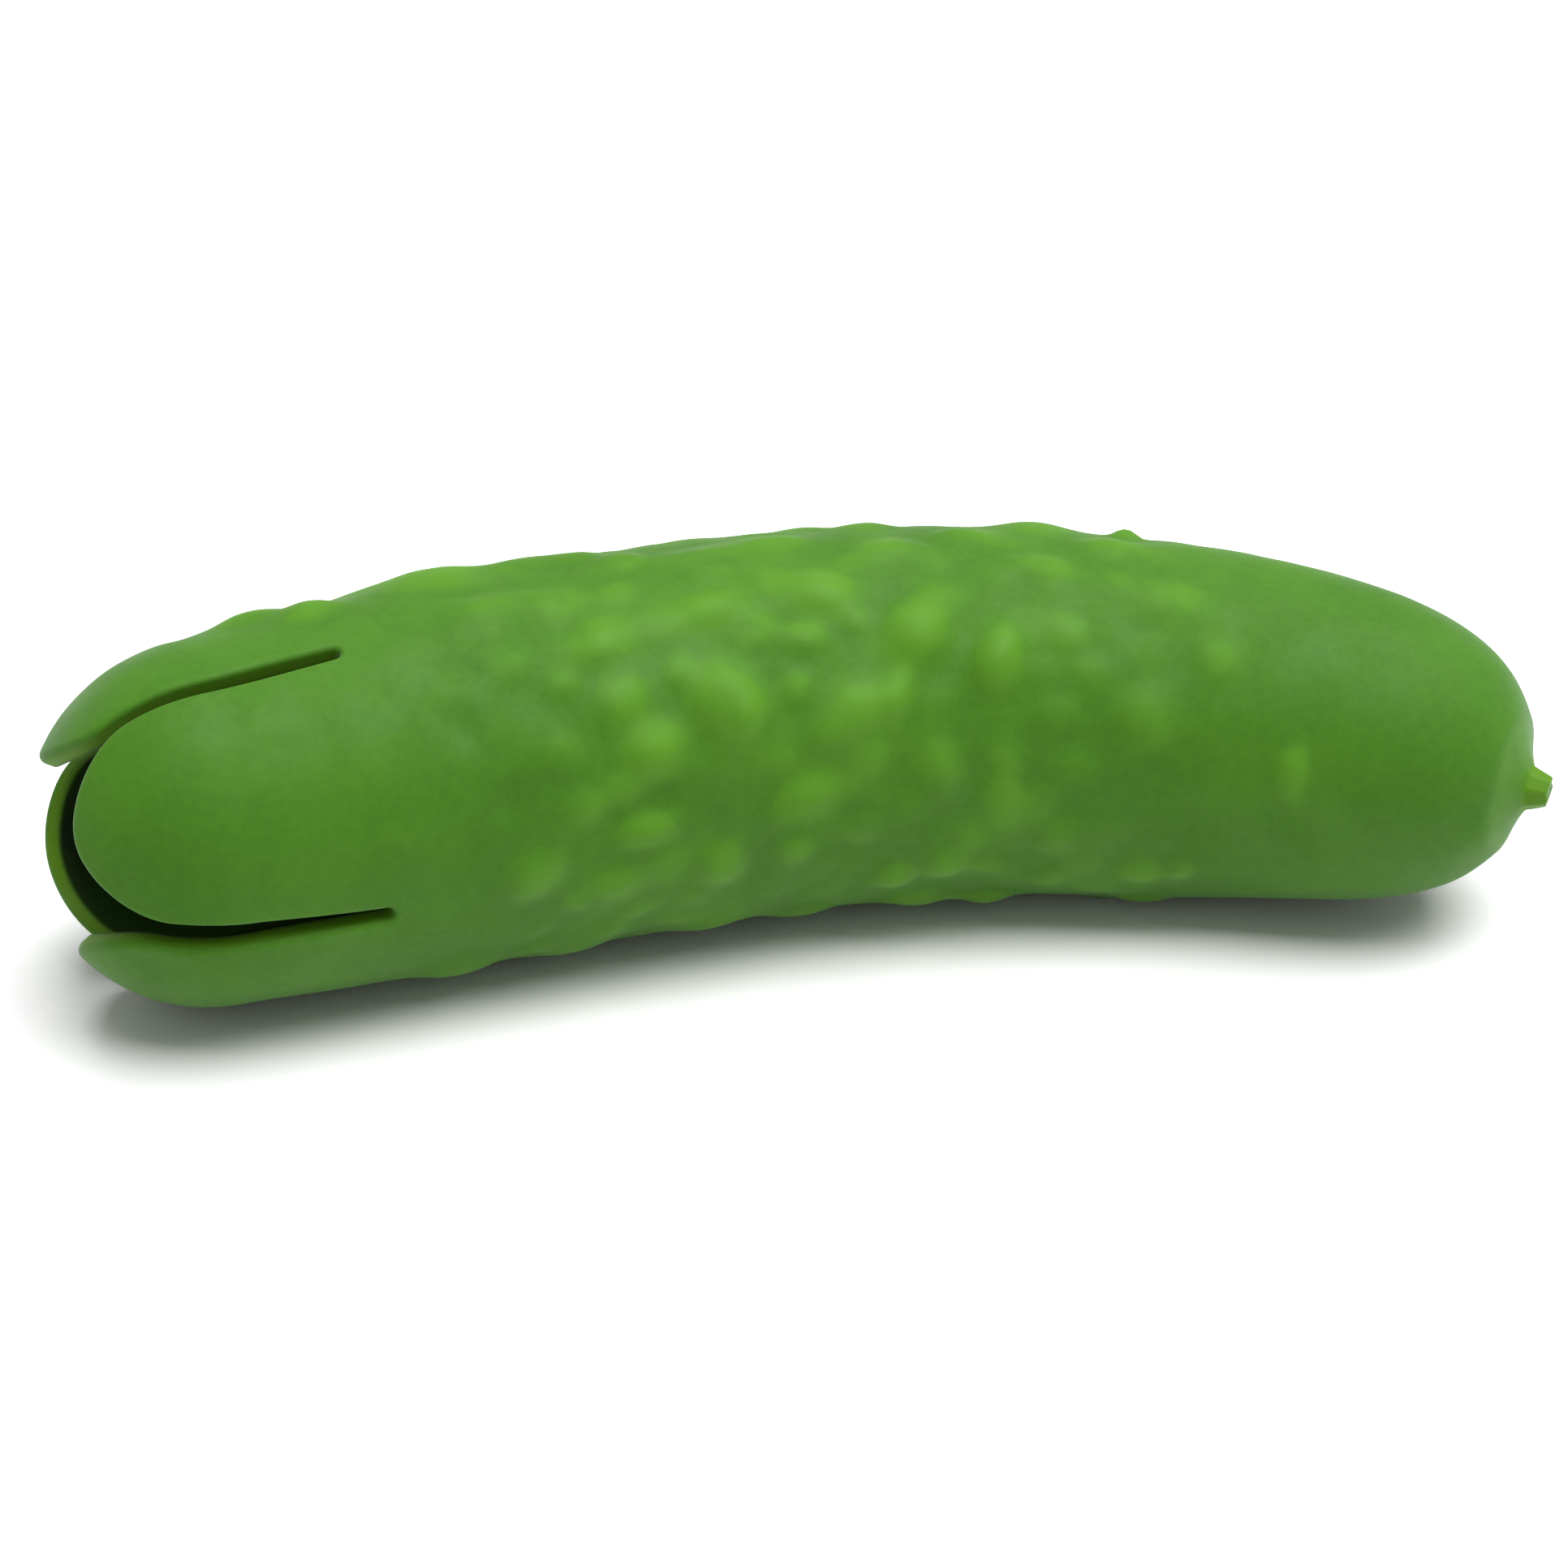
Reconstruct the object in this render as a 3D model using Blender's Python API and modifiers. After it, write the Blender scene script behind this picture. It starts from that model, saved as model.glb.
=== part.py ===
"""Hollow one-piece moulded silicone cucumber with a four-petal mouth.

The sleeve is turned as a straight closed shell lying along X, its mouth at x = 0 and its
stub end at +X. Warts are raised on its outer skin, the four mouth slots are cut, the shell is
bent along a curved guide, and flats are cut where the soft wall rests on the plane z = 0.
Angles round the sleeve are measured from -Y, the inner side of the bend, towards +Z.
"""

import math
import random

import bmesh
import bpy
from mathutils import Vector

MM = 0.001

# Driving dimensions, in millimetres and degrees
WALL = 2.6
MOUTH_RADIUS = 22.0
BODY_LENGTH = 190.0
# (station on the axis, outer radius) from the edge of the mouth dome to the stub
RADII = ((22.0, 22.0), (42, 23.3), (78, 23.7), (115, 23.3), (144, 22.2), (163, 20.3),
         (175, 17.8), (182.5, 13.9), (187.2, 8.6), (190, 2.5))
STUB_LENGTH = 2.6
STUB_BASE_RADIUS = 2.8
STUB_END_RADIUS = 1.9
# How far the flare runs along the axis and outwards
STUB_FLARE = (0.6, 0.5)

# Petals and slots; reaches run along the skin from the mouth's pole
SLOT_ANGLES = (-9, 77, 167, 259)
SLOT_ROOT = 50.3
SLOT_HALF_WIDTH = 0.9
LIP_REACH = 12.0
PETAL_TIP_REACH = 11.6
# One value for each petal, the first one after the first slot
PETAL_ROUNDINGS = (12.0, 9.0, 10.0, 10.0)
PETAL_TIP_WIDTHS = (0.91, 0.95, 0.95, 0.95)
# Turn of a petal's end towards rising angles, full up to a reach and none at the slots' roots
PETAL_LEANS = (2.3, -2.2, 0.0, 0.0)
LEAN_REACH = 18.0

# The bend: (station on the axis, heading in plan), and the height of the axis above the floor
HEADINGS = ((0, 17.0), (48, 16.5), (96, 7.5), (144, -13.0), (175, -32.0), (185, -34.0), (194, -24.0))
# The soft wall rests flat where its skin would reach below the plane
AXIS_HEIGHTS = ((0, 22.6), (42, 23.1), (78, 23.3), (115, 22.8), (144, 21.8), (170, 21.7), (194, 22.0))

# Warts placed one by one: station, angle, length along the axis, width round the skin, height
WARTS = (
    (82, 37, 8, 7, 1.0), (97, 70, 9, 6, 0.8), (94, 54, 5, 4, 0.5), (109, 54, 8, 6, 1.0),
    (119, 44, 6, 7, 1.0), (68, 42, 6, 4, 0.6), (72, 25, 7, 5, 0.8), (70, 4, 6, 4, 0.6),
    (98, 30, 10, 7, 0.9), (68, 62, 6, 4, 0.5), (82, 67, 8, 4, 0.6), (75, 98, 5, 5, 0.9),
    (84, 94, 8, 5, 0.7), (94, 98, 8, 5, 0.7), (92, 7, 9, 4, 0.6), (55, -5, 6, 5, 0.7),
    (80, -12, 6, 6, 0.7), (112, -23, 5, 4, 0.7), (111, 12, 5, 6, 0.6), (142, 69, 8, 5, 0.6),
    (140, 30, 8, 6, 0.6), (163, 16, 4, 5, 0.5), (126, 78, 7, 5, 0.6), (31, 118, 7, 5, 0.8),
    (37, 104, 7, 5, 0.7), (53, 113, 12, 8, 1.0), (66, 112, 9, 6, 0.7), (104, 113, 6, 5, 0.7),
    (126, 114, 8, 6, 0.9), (62, -50, 8, 6, 0.8), (80, -48, 7, 5, 0.7), (93, -50, 8, 5, 0.7),
    (110, -50, 8, 5, 0.8), (119, -52, 6, 5, 0.8), (48, -48, 7, 5, 0.6),
)
# Warts scattered over the side away from the bend and underneath
SCATTERED_WARTS = 46
SCATTER_STATIONS = (28, 150)
SCATTER_ANGLES = (122, 300)
SCATTER_LENGTHS = (5.0, 10.0)
SCATTER_WIDTHS = (4.0, 7.0)
SCATTER_HEIGHTS = (0.4, 0.9)
SCATTER_SEED = 11
# Height factor of all warts, how steeply they fall off, and the bare length before the stub
WART_BOLDNESS = 1.25
WART_FALL = 1.2
BARE_END = 12.0

# Fineness of the shell: steps round it, spacing of its rings, steps of its rounded parts
TURN_STEPS = 40
RING_SPACING = 4.0
DOME_RINGS = 9
LIP_STEPS = 4
# The rings crowd towards the stub: the nth lies n * n times this far from it
END_RING_STEP = 0.36
END_RINGS = range(2, 7)
# The hollow's rings crowd as well, each a share of the length left away from the next
INNER_RING_SPACING = 9.0
INNER_RING_SHARE = 0.25
LEAST_RING_SPACING = 1.0
HOLLOW_END = 1.5 * WALL
HOLLOW_END_RADIUS = 2.0
SLOPE_STEP = 0.5

# Fineness and reach of the slot cutters
TIP_STEPS = 9
EDGE_STEPS = 6
ROOT_STEPS = 3
CUTTER_REACH = 60.0

GUIDE_SPACING = 2.0
FLOOR_MARGIN = 1.2
FLOOR_DEPTH = 10.0
MERGE_DISTANCE = 0.01

SILICONE_COLOUR = (0.08, 0.24, 0.01, 1.0)
SILICONE_ROUGHNESS = 0.6


def at_station(table, station):
    """Value of a smooth curve through the (station, value) pairs of a table."""
    last = len(table) - 2
    index = 0
    while index < last and station > table[index + 1][0]:
        index += 1

    def slope(knot):
        before, after = max(knot - 1, 0), min(knot + 1, len(table) - 1)
        return (table[after][1] - table[before][1]) / (table[after][0] - table[before][0])

    (start, low), (end, high) = table[index], table[index + 1]
    span = end - start
    t = min(max((station - start) / span, 0.0), 1.0)
    return (low * (1 + 2 * t) * (1 - t) ** 2 + high * t * t * (3 - 2 * t)
            + span * (slope(index) * t * (1 - t) ** 2 - slope(index + 1) * t * t * (1 - t)))


def smooth_step(low, high, value):
    """Smooth rise from 0 at low to 1 at high."""
    t = min(max((value - low) / (high - low), 0.0), 1.0)
    return t * t * (3 - 2 * t)


def round_direction(angle):
    """Unit vector square to the axis of the straight sleeve, at an angle in degrees."""
    turn = math.radians(angle)
    return Vector((0.0, -math.cos(turn), math.sin(turn)))


def move_to_collection(item, collection):
    """Take an object out of the collections it is in and put it in another."""
    for holder in list(item.users_collection):
        holder.objects.unlink(item)
    collection.objects.link(item)


def as_guide(item, collection):
    """Mark a cutter or a guide: kept in its own collection, drawn as wire, not built."""
    move_to_collection(item, collection)
    item.hide_render = True
    item.display_type = "WIRE"


# Turned shell

def dome_point(radius, polar):
    """(station, radius) of a point on a dome round the mouth's centre, polar in radians."""
    return MOUTH_RADIUS - radius * math.cos(polar), radius * math.sin(polar)


def outer_stations():
    """Stations of the outer rings, from the stub to the mouth dome's edge."""
    stations = [BODY_LENGTH - END_RING_STEP * ring * ring for ring in END_RINGS]
    while stations[-1] - RING_SPACING > MOUTH_RADIUS:
        stations.append(stations[-1] - RING_SPACING)
    return stations


def inner_wall():
    """(station, radius) pairs of the hollow, from the mouth dome's edge to its closed end."""
    points = []
    station = MOUTH_RADIUS
    while station < BODY_LENGTH - HOLLOW_END:
        low, high = at_station(RADII, station - SLOPE_STEP), at_station(RADII, station + SLOPE_STEP)
        rise = (high - low) / (2 * SLOPE_STEP)
        scale = WALL / math.hypot(1.0, rise)
        points.append((station + rise * scale, at_station(RADII, station) - scale))
        left = BODY_LENGTH - station
        station += min(INNER_RING_SPACING, max(INNER_RING_SHARE * left, LEAST_RING_SPACING))
    return [point for point in points if point[1] > HOLLOW_END_RADIUS]


def shell_profile():
    """Closed (station, radius) outline, from the stub's tip down the skin and back inside."""
    tip = BODY_LENGTH + STUB_LENGTH
    half_way = (tip - 0.5 * STUB_LENGTH, 0.5 * (STUB_END_RADIUS + STUB_BASE_RADIUS))
    outline = [(tip, 0.0), (tip, STUB_END_RADIUS), half_way, (BODY_LENGTH, STUB_BASE_RADIUS),
               (BODY_LENGTH - STUB_FLARE[0], STUB_BASE_RADIUS + STUB_FLARE[1])]
    outline += [(station, at_station(RADII, station)) for station in outer_stations()]
    middle = MOUTH_RADIUS - 0.5 * WALL
    lip = LIP_REACH / MOUTH_RADIUS + 0.5 * WALL / middle
    quarter = 0.5 * math.pi
    for ring in range(DOME_RINGS + 1):
        outline.append(dome_point(MOUTH_RADIUS, quarter + (lip - quarter) * ring / DOME_RINGS))
    centre = Vector(dome_point(middle, lip))
    outward = Vector((-math.cos(lip), math.sin(lip)))
    forward = Vector((-math.sin(lip), -math.cos(lip)))
    for step in range(1, LIP_STEPS):
        turn = math.pi * step / LIP_STEPS
        outline.append(tuple(centre + 0.5 * WALL * (outward * math.cos(turn) + forward * math.sin(turn))))
    for ring in range(DOME_RINGS):
        outline.append(dome_point(MOUTH_RADIUS - WALL, lip + (quarter - lip) * ring / DOME_RINGS))
    outline += inner_wall()
    outline.append((BODY_LENGTH - WALL, 0.0))
    return outline


def turn_shell(collection):
    """The straight sleeve, turned from its outline and laid along X."""
    outline = shell_profile()
    mesh = bpy.data.meshes.new("shell_outline")
    edges = [(i, i + 1) for i in range(len(outline) - 1)]
    mesh.from_pydata([(radius * MM, 0.0, station * MM) for station, radius in outline], edges, [])
    turned = bpy.data.objects.new("turned_shell", mesh)
    collection.objects.link(turned)
    screw = turned.modifiers.new("turn", "SCREW")
    screw.angle = 2 * math.pi
    screw.steps = screw.render_steps = TURN_STEPS
    screw.use_merge_vertices = True
    screw.merge_threshold = MERGE_DISTANCE * MM
    depsgraph = bpy.context.evaluated_depsgraph_get()
    solid = bpy.data.meshes.new_from_object(turned.evaluated_get(depsgraph))
    bpy.data.objects.remove(turned)
    work = bmesh.new()
    work.from_mesh(solid)
    bmesh.ops.remove_doubles(work, verts=work.verts, dist=MERGE_DISTANCE * MM)
    for vert in work.verts:
        x, y, z = vert.co
        vert.co = (z, y, -x)
    work.to_mesh(solid)
    work.free()
    solid.name = "cucumber_sleeve"
    sleeve = bpy.data.objects.new("cucumber_sleeve", solid)
    collection.objects.link(sleeve)
    return sleeve


# Warts

def all_warts():
    """The placed warts and those scattered over the hidden side."""
    scatter = random.Random(SCATTER_SEED)
    warts = list(WARTS)
    for _ in range(SCATTERED_WARTS):
        warts.append((scatter.uniform(*SCATTER_STATIONS), scatter.uniform(*SCATTER_ANGLES),
                      scatter.uniform(*SCATTER_LENGTHS), scatter.uniform(*SCATTER_WIDTHS),
                      scatter.uniform(*SCATTER_HEIGHTS)))
    return warts


def raise_warts(sleeve):
    """Push the outer skin out into low round warts."""
    warts = all_warts()
    for vert in sleeve.data.vertices:
        station = vert.co.x / MM
        radius = math.hypot(vert.co.y, vert.co.z) / MM
        if not MOUTH_RADIUS < station < BODY_LENGTH - BARE_END:
            continue
        if radius < at_station(RADII, station) - 0.5 * WALL:
            continue
        angle = math.degrees(math.atan2(vert.co.z, -vert.co.y))
        height = 0.0
        for place, turn, length, width, rise in warts:
            round_gap = math.radians((angle - turn + 180) % 360 - 180) * radius
            near = ((station - place) / (0.5 * length)) ** 2 + (round_gap / (0.5 * width)) ** 2
            height += WART_BOLDNESS * rise * math.exp(-WART_FALL * near)
        vert.co += round_direction(angle) * height * MM


# Mouth slots

def slot_edge(reach, span, petal):
    """Angle from a slot's middle to the petal beside it, whose slots stand a span apart."""
    root = SLOT_ROOT - SLOT_HALF_WIDTH
    rounding = PETAL_ROUNDINGS[petal]
    into_root = max((reach - root) / SLOT_HALF_WIDTH, 0.0)
    half_slot = math.degrees(SLOT_HALF_WIDTH / RADII[1][1]) * math.sqrt(max(1 - into_root ** 2, 0.0))
    toward_tip = 1 - min((reach - PETAL_TIP_REACH) / rounding, 1.0)
    along = min((reach - PETAL_TIP_REACH) / (root - PETAL_TIP_REACH), 1.0)
    width = PETAL_TIP_WIDTHS[petal] + (1 - PETAL_TIP_WIDTHS[petal]) * along
    fill = math.sqrt(max(1 - toward_tip ** 2, 0.0)) * width
    return 0.5 * span - fill * (0.5 * span - half_slot)


def petal_lean(reach, petal):
    """Turn of a petal's middle line at a reach."""
    return PETAL_LEANS[petal] * (1 - smooth_step(LEAN_REACH, SLOT_ROOT - SLOT_HALF_WIDTH, reach))


def slot_reaches():
    """Distances along the skin at which a slot's outline is drawn, tip to root."""
    rounding = max(PETAL_ROUNDINGS)
    quarter = 0.5 * math.pi
    tip = [PETAL_TIP_REACH + rounding * (1 - math.cos(quarter * step / TIP_STEPS))
           for step in range(TIP_STEPS + 1)]
    root = SLOT_ROOT - SLOT_HALF_WIDTH
    straight = [tip[-1] + (root - tip[-1]) * step / EDGE_STEPS for step in range(1, EDGE_STEPS + 1)]
    end = [root + SLOT_HALF_WIDTH * math.sin(quarter * step / ROOT_STEPS) for step in range(1, ROOT_STEPS)]
    return tip + straight + end


def skin_ray(reach, angle):
    """Point on the axis and unit direction of the ray through the skin at a reach and angle."""
    polar = reach / MOUTH_RADIUS
    if polar < 0.5 * math.pi:
        tilt = math.sin(polar) * round_direction(angle) - Vector((math.cos(polar), 0, 0))
        return Vector((MOUTH_RADIUS, 0, 0)), tilt
    return Vector((MOUTH_RADIUS + reach - 0.5 * math.pi * MOUTH_RADIUS, 0, 0)), round_direction(angle)


def slot_cutter(index, collection):
    """Wedge from the axis outwards that opens one slot and rounds the petals on both sides."""
    angle = SLOT_ANGLES[index]
    count = len(SLOT_ANGLES)
    low_petal, high_petal = (index - 1) % count, index
    low_span = (angle - SLOT_ANGLES[low_petal]) % 360
    high_span = (SLOT_ANGLES[(index + 1) % count] - angle) % 360
    work = bmesh.new()
    apexes = {}
    rungs = []
    for reach in slot_reaches():
        apex, _ = skin_ray(reach, angle)
        key = round(apex.x, 4)
        if key not in apexes:
            apexes[key] = work.verts.new(apex * MM)
        sides = (angle - slot_edge(reach, low_span, low_petal) + petal_lean(reach, low_petal),
                 angle + slot_edge(reach, high_span, high_petal) + petal_lean(reach, high_petal))
        rims = [work.verts.new((apex + skin_ray(reach, side)[1] * CUTTER_REACH) * MM) for side in sides]
        rungs.append((apexes[key], *rims))
    apex, outward = skin_ray(SLOT_ROOT, angle)
    root = work.verts.new((apex + outward * CUTTER_REACH) * MM)
    first_apex, first_low, first_high = rungs[0]
    last_apex, last_low, last_high = rungs[-1]
    work.faces.new((first_apex, first_low, first_high))
    for edge in ((last_apex, last_low), (last_low, last_high), (last_high, last_apex)):
        work.faces.new((*edge, root))
    for (apex, low, high), (next_apex, next_low, next_high) in zip(rungs, rungs[1:]):
        for rim, next_rim in ((low, next_low), (high, next_high)):
            work.faces.new((apex, rim, next_rim))
            if next_apex is not apex:
                work.faces.new((apex, next_rim, next_apex))
        work.faces.new((low, high, next_high))
        work.faces.new((low, next_high, next_low))
    bmesh.ops.recalc_face_normals(work, faces=work.faces)
    mesh = bpy.data.meshes.new("slot_cutter")
    work.to_mesh(mesh)
    work.free()
    cutter = bpy.data.objects.new(f"slot_cutter_{index + 1}", mesh)
    as_guide(cutter, collection)
    return cutter


# Bend and rest

def bend_guide(collection):
    """Curve that the straight sleeve's axis follows."""
    length = BODY_LENGTH + STUB_LENGTH + GUIDE_SPACING
    count = int(length / GUIDE_SPACING)
    place = Vector((0.0, 0.0, 0.0))
    points = []
    for step in range(count + 1):
        station = step * GUIDE_SPACING
        points.append(Vector((place.x, place.y, at_station(AXIS_HEIGHTS, station))))
        heading = math.radians(at_station(HEADINGS, station + 0.5 * GUIDE_SPACING))
        place += GUIDE_SPACING * Vector((math.cos(heading), math.sin(heading), 0.0))
    data = bpy.data.curves.new("bend_guide", "CURVE")
    data.dimensions = "3D"
    data.twist_mode = "Z_UP"
    spline = data.splines.new("POLY")
    spline.points.add(len(points) - 1)
    for target, point in zip(spline.points, points):
        target.co = (*(point * MM), 1.0)
    guide = bpy.data.objects.new("bend_guide", data)
    as_guide(guide, collection)
    return guide


def world_box(item):
    """Lowest and highest corners of an object's evaluated mesh."""
    bpy.context.view_layer.update()
    depsgraph = bpy.context.evaluated_depsgraph_get()
    shape = item.evaluated_get(depsgraph)
    corners = [shape.matrix_world @ vert.co for vert in shape.to_mesh().vertices]
    low = Vector([min(corner[axis] for corner in corners) for axis in range(3)])
    high = Vector([max(corner[axis] for corner in corners) for axis in range(3)])
    shape.to_mesh_clear()
    return low, high


def add_boolean(item, cutter):
    """Cut one object from another with a live modifier."""
    cut = item.modifiers.new(cutter.name, "BOOLEAN")
    cut.operation = "DIFFERENCE"
    cut.solver = "EXACT"
    cut.object = cutter


def lay_on_floor(sleeve, followers, collection):
    """Set the sleeve over the origin and cut the flats on which its soft wall rests."""
    low, high = world_box(sleeve)
    frame = bpy.data.objects.new("sleeve_frame", None)
    collection.objects.link(frame)
    for item in (sleeve, *followers):
        item.parent = frame
    frame.location = (-0.5 * (low.x + high.x), -0.5 * (low.y + high.y), 0.0)
    size = high - low
    bpy.ops.mesh.primitive_cube_add(size=1.0, location=(0.0, 0.0, -0.5 * FLOOR_DEPTH * MM))
    floor = bpy.context.active_object
    floor.name = "floor_cutter"
    floor.scale = (FLOOR_MARGIN * size.x, FLOOR_MARGIN * size.y, FLOOR_DEPTH * MM)
    as_guide(floor, collection)
    add_boolean(sleeve, floor)


def silicone():
    """Matte green silicone."""
    material = bpy.data.materials.new("green_silicone")
    material.use_nodes = True
    shader = material.node_tree.nodes["Principled BSDF"]
    shader.inputs["Base Color"].default_value = SILICONE_COLOUR
    shader.inputs["Roughness"].default_value = SILICONE_ROUGHNESS
    shader.inputs["Metallic"].default_value = 0.0
    return material


def main():
    """Turn the shell, raise its warts, cut its slots, bend it and lay it down."""
    for item in list(bpy.data.objects):
        bpy.data.objects.remove(item)
    parts = bpy.data.collections.new("silicone_cucumber")
    helpers = bpy.data.collections.new("cutters")
    for collection in (parts, helpers):
        bpy.context.scene.collection.children.link(collection)
    sleeve = turn_shell(parts)
    raise_warts(sleeve)
    cutters = [slot_cutter(index, helpers) for index in range(len(SLOT_ANGLES))]
    for cutter in cutters:
        add_boolean(sleeve, cutter)
    guide = bend_guide(helpers)
    bend = sleeve.modifiers.new("bend", "CURVE")
    bend.object = guide
    bend.deform_axis = "POS_X"
    sleeve.data.materials.append(silicone())
    sleeve.data.shade_smooth()
    lay_on_floor(sleeve, [*cutters, guide], helpers)


main()
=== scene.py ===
"""Looks of a moulded silicone cucumber: a hollow warty sleeve with a four-petal mouth.

The sleeve is one skin of even thickness. A point on it is given by its reach, the distance
along the skin from the mouth's pole, and its angle round the axis, measured from -Y, the
inner side of the bend, towards +Z. Lengths in the classes are millimetres, angles degrees.
"""

from __future__ import annotations

import logging
import math
from dataclasses import dataclass, field
from enum import Enum

import bmesh
import bpy
import numpy as np
from mathutils import Matrix, Vector, noise


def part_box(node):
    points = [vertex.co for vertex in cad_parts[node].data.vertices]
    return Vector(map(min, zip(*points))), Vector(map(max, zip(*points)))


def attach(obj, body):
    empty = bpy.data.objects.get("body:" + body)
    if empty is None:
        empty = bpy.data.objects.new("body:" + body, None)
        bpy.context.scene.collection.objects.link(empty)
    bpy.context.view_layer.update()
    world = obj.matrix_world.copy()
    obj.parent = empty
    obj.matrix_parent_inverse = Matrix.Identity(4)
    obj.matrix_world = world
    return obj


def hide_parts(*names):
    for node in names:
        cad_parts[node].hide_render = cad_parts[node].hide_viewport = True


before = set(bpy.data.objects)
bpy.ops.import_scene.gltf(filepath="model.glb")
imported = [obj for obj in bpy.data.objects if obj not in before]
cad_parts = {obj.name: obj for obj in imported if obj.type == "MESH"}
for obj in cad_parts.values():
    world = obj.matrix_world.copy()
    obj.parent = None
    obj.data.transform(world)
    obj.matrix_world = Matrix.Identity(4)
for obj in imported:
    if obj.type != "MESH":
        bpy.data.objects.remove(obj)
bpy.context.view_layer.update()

MM = 0.001
SLEEVE_NODE = "cucumber_sleeve"
WELD = 2e-6
MM_PER_DEGREE = 0.4
WART_FALL = 1.3
WART_SQUARENESS = 1.25
SENSOR_WIDTH = 36.0
log = logging.getLogger("cucumber")

Array = np.ndarray
Socket = bpy.types.NodeSocket
Pair = tuple[float, float]
Triple = tuple[float, float, float]
Table = tuple[Pair, ...]


def smooth_table(table: Table, stations: Array) -> Array:
    """Read a smooth curve through a few (station, value) pairs.

    Args:
        table: Pairs in rising order of station.
        stations: Where the curve is read; held at the ends of the table.

    Returns:
        The curve's value at each station.
    """
    knots = np.array([pair[0] for pair in table], float)
    values = np.array([pair[1] for pair in table], float)
    before = np.maximum(np.arange(len(knots)) - 1, 0)
    after = np.minimum(np.arange(len(knots)) + 1, len(knots) - 1)
    slopes = (values[after] - values[before]) / (knots[after] - knots[before])
    index = np.clip(np.searchsorted(knots, stations, side="right") - 1, 0, len(knots) - 2)
    span = knots[index + 1] - knots[index]
    t = np.clip((stations - knots[index]) / span, 0.0, 1.0)
    rise = values[index] * (1 + 2 * t) * (1 - t) ** 2 + values[index + 1] * t * t * (3 - 2 * t)
    return rise + span * (slopes[index] * t * (1 - t) ** 2 - slopes[index + 1] * t * t * (1 - t))


def ramp(low: float, high: float, values: Array) -> Array:
    """Smooth step from 0 at low to 1 at high."""
    t = np.clip((values - low) / (high - low), 0.0, 1.0)
    return t * t * (3 - 2 * t)


class Layer(Enum):
    """The two faces of the silicone wall."""

    SKIN = "skin"
    LINING = "lining"


@dataclass(frozen=True)
class Wart:
    """One low round swelling of the skin.

    Attributes:
        station: Place along the axis.
        angle: Place round the axis.
        length: Width of the swelling along its long way.
        width: Width across it.
        height: Rise above the skin, negative for a dimple.
        tilt: Turn of the long way from the axis, towards rising angles.
    """

    station: float
    angle: float
    length: float
    width: float
    height: float
    tilt: float = 0.0

    def rise(self, stations: Array, angles: Array, radii: Array) -> Array:
        """Height that this wart adds at each point."""
        along = stations - self.station
        across = np.radians((angles - self.angle + 180) % 360 - 180) * radii
        turn = math.radians(self.tilt)
        major = (along * math.cos(turn) + across * math.sin(turn)) / (0.5 * self.length)
        minor = (across * math.cos(turn) - along * math.sin(turn)) / (0.5 * self.width)
        return self.height * np.exp(-WART_FALL * (major ** 2 + minor ** 2) ** WART_SQUARENESS)


PLACED_WARTS: tuple[tuple[float, ...], ...] = (
    (82, 38, 8, 8, 1.0, 20), (84.5, 31, 7, 4, 0.5, 50), (97, 69, 9, 6, 0.8, -15), (94, 54, 6, 4, 0.45),
    (109, 54, 8, 7, 1.0, 25), (119.5, 44, 6, 8, 1.0, -25), (68, 42, 7, 5, 0.55, 20),
    (72, 26, 7, 6, 0.8, 10), (70, 4, 7, 4, 0.6), (91.5, 39, 4, 4, 0.35), (99, 30, 10, 6, 0.75, 25),
    (105, 34, 6, 4, 0.55, 60), (68, 61, 7, 5, 0.5, 20), (83, 67, 9, 4.5, 0.6, 8), (75, 97, 5.5, 5, 0.5),
    (84, 94, 9, 5, 0.35), (94, 98, 9, 5, 0.35), (92, 7, 9, 5, 0.55, 15), (55, -5, 6, 6, 0.6),
    (80, -12, 6, 6, 0.6), (112, -23, 6, 5, 0.6), (105, -28, 5, 5, 0.5), (111, 12, 5, 7, 0.5, 10),
    (120, 1, 5, 6, 0.45), (142, 69, 9, 6, 0.55, 10), (140, 30, 8, 7, 0.5), (163, 16, 4, 6, 0.4),
    (126, 78, 8, 5, 0.6), (141, -27, 5, 5, 0.4), (147, -26, 4, 4, 0.35), (137, 112, 3, 4, 0.6),
    (37, 36, 7, 7, 0.15), (31, 118, 8, 6, 0.65), (37, 106, 7, 6, 0.6), (53, 115, 12, 10, 0.8),
    (64, 113, 8, 8, 0.5), (70, 108, 6, 6, 0.45), (106, 114, 6, 6, 0.35), (126, 115, 9, 8, 0.5),
    (62, -50, 9, 7, 0.45), (80, -50, 8, 6, 0.4), (93, -52, 8, 6, 0.4), (110, -50, 9, 6, 0.45),
    (119, -52, 7, 5, 0.5), (47, -48, 9, 7, 0.5), (50, 61, 5, 4, -0.35), (49, 43, 4, 5, -0.3),
    (53, 18, 4, 5, -0.35), (77, 48, 4, 4, 0.35), (88, 58, 5, 4, 0.35, 30), (101, 58, 4, 3.5, 0.3),
    (114, 66, 6, 4, 0.35), (60, 30, 5, 5, 0.3), (62, 14, 5, 4, 0.3), (62, 50, 5, 4, 0.3),
    (100, 17, 6, 4, 0.3), (129, 54, 6, 5, 0.35), (131, 12, 6, 5, 0.3), (128, -12, 6, 5, 0.35),
    (150, 50, 6, 5, 0.25), (90, -12, 5, 4, 0.35), (99, -6, 6, 4, 0.35), (66, -14, 6, 4, 0.35),
    (57, 82, 9, 5, 0.4), (108, 88, 7, 5, 0.45), (117, 96, 7, 5, 0.45), (64, 78, 6, 5, 0.35),
    (135, 95, 7, 5, 0.4),
)


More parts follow.
